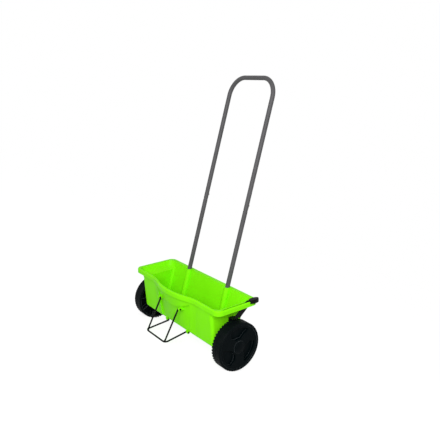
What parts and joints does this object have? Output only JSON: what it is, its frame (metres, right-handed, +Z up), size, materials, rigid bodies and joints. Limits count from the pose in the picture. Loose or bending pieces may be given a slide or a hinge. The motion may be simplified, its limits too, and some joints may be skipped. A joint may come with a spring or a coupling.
{
  "type": "garden spreader",
  "caption": "Walk-behind drop spreader: bowed green plastic hopper on moulded black wheels, tall U-shaped tube handle, wire stand, and a dose lever that turns a metering gate.",
  "frame": {"origin": "on the ground, under the middle of the bounding box", "axes": "X along the axle to the driven wheel, at the right of a person behind the handle; Y back; Z up, with the spreader parked on its wheels and wire stand"},
  "size_m": [0.65, 0.2776, 1.1668],
  "materials": {
    "hopper_green": "lime green polypropylene, fine satin moulding",
    "wheel_black": "black moulded polyethylene, satin",
    "moulded_black": "black moulded nylon, satin",
    "bush_white": "natural acetal",
    "tube_grey": "dark grey powder coat, satin",
    "wire_black": "black dip coat on steel wire",
    "plated_steel": "zinc plated steel"
  },
  "bodies": {
    "hopper_body": {"hopper": "hopper_green", "left_bush": "bush_white", "right_bush": "bush_white", "left_handle_tube": "tube_grey", "right_handle_tube": "tube_grey", "handle_upper": "tube_grey", "handle_joint_screws": "plated_steel", "socket_screws": "plated_steel", "stand_base": "wire_black", "stand_legs": "wire_black"},
    "drive_axle": {"axle": "plated_steel", "agitator_paddles": "moulded_black", "drive_pin": "plated_steel", "right_wheel": "wheel_black", "right_hub_cap": "wheel_black", "inner_washers": "plated_steel", "outer_washers": "plated_steel", "split_pins": "plated_steel"},
    "free_wheel": {"left_wheel": "wheel_black", "left_hub_cap": "wheel_black"},
    "dose_gate": {"metering_gate": "plated_steel", "dose_lever": "moulded_black", "lever_knob": "moulded_black", "lever_screws": "plated_steel"}
  },
  "joints": [
    {"name": "axle_spin", "type": "hinge", "parent": "hopper_body", "child": "drive_axle", "pos_m": [0, 0.03884, 0.1], "axis": [1, 0, 0], "continuous": true},
    {"name": "free_wheel_spin", "type": "hinge", "parent": "hopper_body", "child": "free_wheel", "pos_m": [-0.3, 0.03884, 0.1], "axis": [1, 0, 0], "continuous": true},
    {"name": "dose_lever_swing", "type": "hinge", "parent": "hopper_body", "child": "dose_gate", "pos_m": [0.26, 0.03884, 0.1], "axis": [1, 0, 0], "range_deg": [0, 36]}
  ]
}
